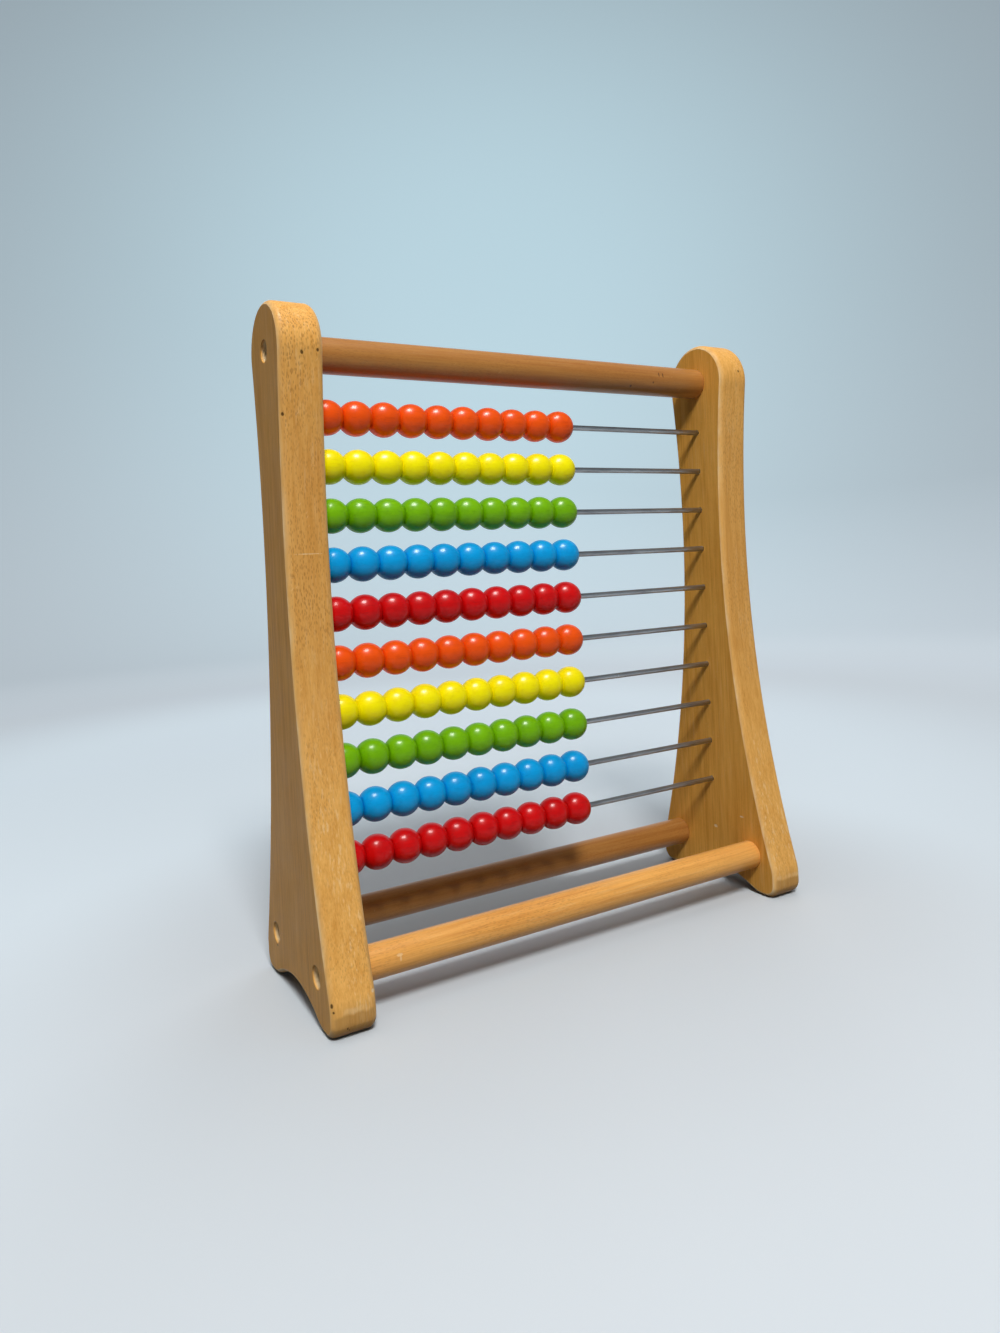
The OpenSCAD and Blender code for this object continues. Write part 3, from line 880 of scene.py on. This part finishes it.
def makeScrew(node, side, s, twist):
    low, high = (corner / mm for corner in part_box(node))
    seat = (low + high) / 2
    headX = high.x if side > 0 else low.x
    # p.x runs from the head's top inwards
    place = lambda p: Vector((headX - side * p.x, seat.y + p.y, seat.z + p.z)) * mm
    top, headR, edge = s["headH"], s["headR"], s["headEdge"]
    neck, end = top + s["plain"], top + s["length"]

    def thread(along, angle, r):
        depth = along - top - s["plain"]
        if depth <= 0 or depth > s["length"] - s["plain"] - s["tip"]:
            return r
        phase = (depth / s["pitch"] - angle / (2 * math.pi)) % 1
        ridge = max(0.0, 1 - abs(phase - 0.5) / s["ridgeHalf"])
        return s["rootR"] + (s["shankR"] - s["rootR"]) * ridge * min(1, depth / s["ridgeRise"])

    head = s["crown"] + [(top - edge, headR), (top, headR - edge)]
    shank = [(top, s["shankR"]), (neck, s["shankR"])]
    shank += [(x, s["rootR"]) for x in spread(neck + s["threadStart"], end - s["tip"], s["threadStep"])]
    tip = [(end - s["tipNose"][0], s["tipNose"][1]), (end, 0)]
    bm = bmesh.new()
    rings = lathe(bm, head + shank + tip, s["segments"], place, shape=thread)
    # the cross: a plus-shaped opening in the crown, with walls that narrow to its floor
    w, reach = s["crossWide"], s["crossReach"]
    arm = [(w, w), (w, reach), (-w, reach)]
    corners = []
    for x, y in ((1, 0), (0, 1), (-1, 0), (0, -1)):
        corners += [(a * x - b * y, a * y + b * x) for a, b in arm]
    spin = Matrix.Rotation(twist, 2)

    def cross(depth, shrink):
        return [bm.verts.new(place(Vector((depth, *(spin @ Vector(c) * shrink))))) for c in corners]

    mouth, floor = cross(0.0, 1.0), cross(s["crossDeep"], s["crossFloor"])
    joinRings(bm, mouth, floor)
    bm.faces.new(floor)
    edges = ringEdges(bm, rings[0]) + ringEdges(bm, mouth)
    bmesh.ops.triangle_fill(bm, use_beauty=True, use_dissolve=False, edges=edges)
    piece = finishPiece(bm, pieceName(node, "Turned"), screwSteel, s["sharpAngle"])
    settle(piece, "frame", "screw_steel", node)


twists = random.Random(7)
for rail in ("top_rail", "front_bottom_rail", "rear_bottom_rail"):
    for sideName, side in (("left", -1), ("right", 1)):
        makeScrew(f"{rail}_{sideName}_screw", side, screwSet, twists.uniform(0, math.pi / 2))
print("screws ready")


# wires
wireSet = {"bevel": 0.4, "segments": 28, "step": 4.0}


def makeWire(k, s):
    node = f"row_{k:02d}_wire"
    low, high = (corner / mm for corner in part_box(node))
    middle, radius = (low + high) / 2, (high.z - low.z) / 2
    b = s["bevel"]
    body = [(x, radius) for x in spread(low.x + b, high.x - b, s["step"])]
    profile = [(low.x, 0), (low.x, radius - b)] + body + [(high.x, radius - b), (high.x, 0)]
    bm = bmesh.new()
    lathe(bm, profile, s["segments"], lambda p: (p + Vector((0, middle.y, middle.z))) * mm)
    piece = finishPiece(bm, f"row{k:02d}WireRod", wireSteel)
    settle(piece, node, "wire_steel", node)


# beads
beadSet = {
    "radius": 8.0, "halfLength": 6.7, "endRound": 0.9, "endEase": (0.1, 0.18), "ballStart": 0.11,
    "boreR": 1.5, "boreBevel": 0.5, "gap": 0.1, "segments": 36, "arcSteps": 9, "sharpAngle": 32,
    "smallest": 0.975, "tilt": 0.45, "unevenness": 0.06, "unevenSize": 6, "grainReach": 40,
}


def beadProfile(s):
    # Half of the bead from its bore to its widest place, then the mirrored half back into the bore.
    radius, halfLength, boreR, bevel = s["radius"], s["halfLength"], s["boreR"], s["boreBevel"]
    flatR = math.sqrt(radius ** 2 - halfLength ** 2)
    start = math.asin(flatR / radius) + s["ballStart"]
    half = [(0.0, boreR), (halfLength - bevel, boreR), (halfLength, boreR + bevel)]
    half += [(halfLength, flatR - s["endRound"]), (halfLength - s["endEase"][0], flatR - s["endEase"][1])]
    for i in range(s["arcSteps"] + 1):
        a = start + (math.pi / 2 - start) * i / s["arcSteps"]
        half.append((radius * math.cos(a), radius * math.sin(a)))
    return half + [(-x, r) for x, r in half[-2:0:-1]]


def makeBeads(k, part, colour, s, profile):
    node = f"row_{k:02d}_{part}_beads"
    low, high = (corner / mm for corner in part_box(node))
    length = 2 * s["halfLength"]
    count = round((high.x - low.x + s["gap"]) / (length + s["gap"]))
    luck = random.Random(k * 10 + (part == "left"))
    bm = bmesh.new()
    placeLayer = bm.verts.layers.float_vector.new("beadPlace")
    toneLayer = bm.verts.layers.float.new("beadTone")
    for i in range(count):
        along = low.x + s["halfLength"] + i * (length + s["gap"])
        middle = Vector((along, (low.y + high.y) / 2, (low.z + high.z) / 2))
        size, tone = luck.uniform(s["smallest"], 1.0), luck.random()
        grainTurn = Matrix.Rotation(luck.uniform(0, 2 * math.pi), 3, "X")
        leanY, leanZ = (math.radians(luck.uniform(-s["tilt"], s["tilt"])) for _ in range(2))
        lean = Matrix.Rotation(leanY, 3, "Y") @ Matrix.Rotation(leanZ, 3, "Z")
        offset = Vector([luck.uniform(-s["grainReach"], s["grainReach"]) for _ in range(3)])
        local = []

        def place(p, middle=middle, lean=lean, local=local):
            local.append(p.copy())
            return (middle + lean @ p) * mm

        def shape(along, angle, r, size=size, offset=offset):
            if r <= s["boreR"] + s["boreBevel"] + 0.01:  # the bore stays round
                return r
            way = Vector((along, r * math.cos(angle), r * math.sin(angle)))
            return r * size - s["unevenness"] * (0.5 + 0.5 * noise.noise(way / s["unevenSize"] + offset))

        rings = lathe(bm, profile, s["segments"], place, closed=True, shape=shape)
        for vert, spot in zip((v for ring in rings for v in ring), local):
            vert[placeLayer] = (grainTurn @ spot + offset) * mm
            vert[toneLayer] = tone
    piece = finishPiece(bm, f"row{k:02d}{part.title()}Beads", beadPaints[colour], s["sharpAngle"])
    settle(piece, node, "bead_" + colour, node)
    return count


profile = beadProfile(beadSet)
colours = list(beadLook["paints"])
total = 0
for k in range(1, 11):
    makeWire(k, wireSet)
    for part in ("left", "right"):
        total += makeBeads(k, part, colours[(k - 1) % len(colours)], beadSet, profile)
print("wires ready, and", total, "beads")


# plain stage: a pale floor that rises all round into a wall, and soft lamps
stageSet = {
    "floor": "ccd4dc", "wall": "a9b6bd", "wallRise": (0.0, 1.4),
    # the colour that scattered light meets: near the toy, and further out
    "bounce": ("84888b", "484b4e"), "bounceReach": (0.15, 0.8),
    # painted glow that the wall gives off in view, round a middle place and further out
    "glow": ("abc6d1", "87929a"), "glowPlace": (1.2, 2.1, 1.1), "glowReach": (0.2, 2.1), "glowStart": (0.0, 1.4),
    # and a painted pool of light on the floor behind the toy, which also lightens the toy's shadow there
    "floorGlow": "59676e", "floorGlowPlace": (0.1, 0.4, 0.0), "floorGlowReach": (0.7, 0.36),
    "floorGlowStart": (0.14, 0.3),
    "flat": 1.6, "flatRings": (0.3, 0.7, 1.0), "curve": 1.0, "curveSteps": 16, "wallH": 3.2, "segments": 96,
    "drop": 0.0002,
}


def makeStage(s):
    made, tree, shader = newMaterial("paleStage", Roughness=0.85, Specular_IOR_Level=0.0, Emission_Strength=1.0)
    place = put(tree, "TexCoord")["Object"]
    height = put(tree, "SeparateXYZ", {0: place})[2]
    path = put(tree, "LightPath")
    mirrored = calc(tree, "MAXIMUM", path["Is Glossy Ray"], path["Is Transmission Ray"])
    seen = calc(tree, "MAXIMUM", path["Is Camera Ray"], mirrored)
    reach = vecCalc(tree, "LENGTH", place)
    pale = mixed(tree, ease(tree, height, *s["wallRise"]), tint(s["floor"]), tint(s["wall"]))
    bounce = mixed(tree, ease(tree, reach, *s["bounceReach"]), *(tint(c) for c in s["bounce"]))
    tree.links.new(mixed(tree, seen, bounce, pale), shader.inputs["Base Color"])
    black = (0.0, 0.0, 0.0, 1.0)
    fromGlow = vecCalc(tree, "DISTANCE", place, s["glowPlace"])
    wallGlow = mixed(tree, ease(tree, fromGlow, *s["glowReach"]), *(tint(c) for c in s["glow"]))
    wallGlow = mixed(tree, ease(tree, reach, *s["glowStart"]), black, wallGlow)
    behind = ease(tree, vecCalc(tree, "DISTANCE", place, s["floorGlowPlace"]), *s["floorGlowReach"])
    clear = calc(tree, "MULTIPLY", ease(tree, reach, *s["floorGlowStart"]), behind)
    glow = vecCalc(tree, "ADD", wallGlow, mixed(tree, clear, black, tint(s["floorGlow"])))
    tree.links.new(mixed(tree, seen, black, glow), shader.inputs["Emission Color"])
    profile = [(0.0, 0.0)] + [(0.0, s["flat"] * share) for share in s["flatRings"]]
    for i in range(1, s["curveSteps"] + 1):
        a = math.pi / 2 * i / s["curveSteps"]
        profile.append((s["curve"] * (1 - math.cos(a)), s["flat"] + s["curve"] * math.sin(a)))
    profile.append((s["wallH"], s["flat"] + s["curve"]))
    bm = bmesh.new()
    lathe(bm, profile, s["segments"], lambda p: Vector((p.y, p.z, p.x - s["drop"])))
    piece = finishPiece(bm, "paleFloor", made)


lampSet = {
    # place, size, power, colour, whether it lights matt surfaces, whether it shows in reflections
    "ceiling": ((-0.15, -0.1, 1.9), (2.2, 2.2), 14.5, (1.0, 0.98, 0.96), True, False),
    "window": ((-0.36, -0.94, 1.28), (0.36, 0.36), 20.5, (1.0, 0.99, 0.96), True, False),
    # for the sides that the photograph doesn't show
    "rear": ((1.25, 0.95, 1.35), (1.2, 1.2), 6.5, (1.0, 0.98, 0.96), True, False),
    "sparkle": ((-0.3, -0.32, 1.5), (0.5, 0.42), 34.0, (1.0, 0.99, 0.97), False, True),
}
lampTarget = (0, 0, 0.14)  # the middle of the toy
skySet = {"colour": (0.97, 0.98, 1.0, 1.0), "strength": 0.05}


def makeLamps(lamps, target, sky):
    for name, (place, size, power, colour, lights, shines) in lamps.items():
        lamp = bpy.data.lights.new(name, "AREA")
        lamp.shape, lamp.size, lamp.size_y = "RECTANGLE", *size
        lamp.energy, lamp.color = power, colour
        piece = bpy.data.objects.new(name, lamp)
        piece.location = place
        piece.rotation_mode = "QUATERNION"
        piece.rotation_quaternion = (Vector(target) - Vector(place)).to_track_quat("-Z", "Y")
        piece.visible_diffuse, piece.visible_glossy = lights, shines
        bpy.context.scene.collection.objects.link(piece)
    world = bpy.data.worlds.new("softRoom")
    world.use_nodes = True
    background = world.node_tree.nodes["Background"]
    background.inputs["Color"].default_value = sky["colour"]
    background.inputs["Strength"].default_value = sky["strength"]
    bpy.context.scene.world = world


makeStage(stageSet)
makeLamps(lampSet, lampTarget, skySet)
bpy.context.scene.view_settings.view_transform = "Standard"
print("stage and lamps ready")
